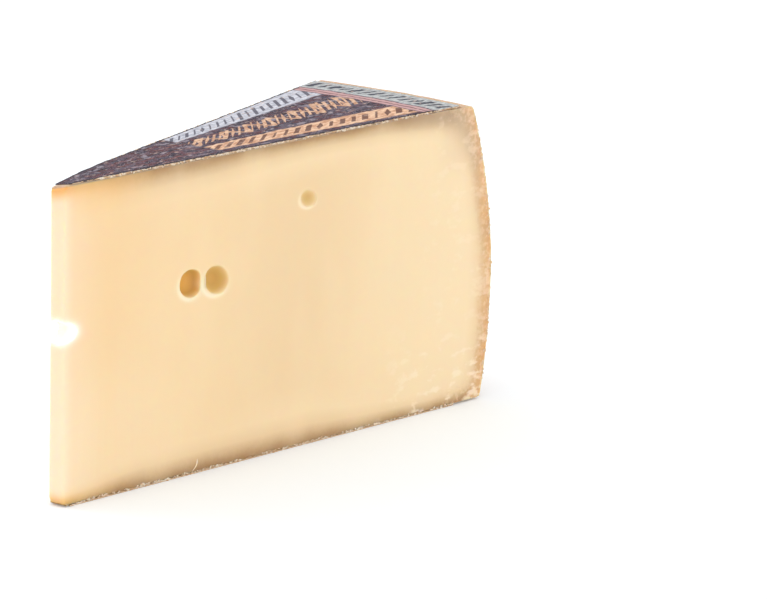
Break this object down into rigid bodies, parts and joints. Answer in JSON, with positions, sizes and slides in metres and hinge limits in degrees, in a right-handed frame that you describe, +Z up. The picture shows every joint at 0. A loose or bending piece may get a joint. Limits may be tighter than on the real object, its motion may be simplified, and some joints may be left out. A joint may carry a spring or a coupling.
{
  "type": "wedge of hard cheese",
  "caption": "Wedge of hard cheese cut from a round: pale paste with gas holes, natural rind, and a thin paper label on each flat face.",
  "frame": {"origin": "middle of the wedge's bounding box in plan, on the surface that it stands on", "axes": "+X from the blunt tip to the rind, +Y across the wedge, +Z up"},
  "size_m": [0.1486, 0.0502, 0.079],
  "materials": {
    "cheese": "waxy pale yellow paste, smooth where it is cut, darkening to a rough tan-brown natural rind",
    "label_paper": "thin matt printed paper, finely wrinkled and a little worn, dark violet-brown ground with silver and terracotta bands"
  },
  "bodies": {
    "root": {"cheese_wedge": "cheese", "top_label": "label_paper", "bottom_label": "label_paper"}
  },
  "joints": []
}
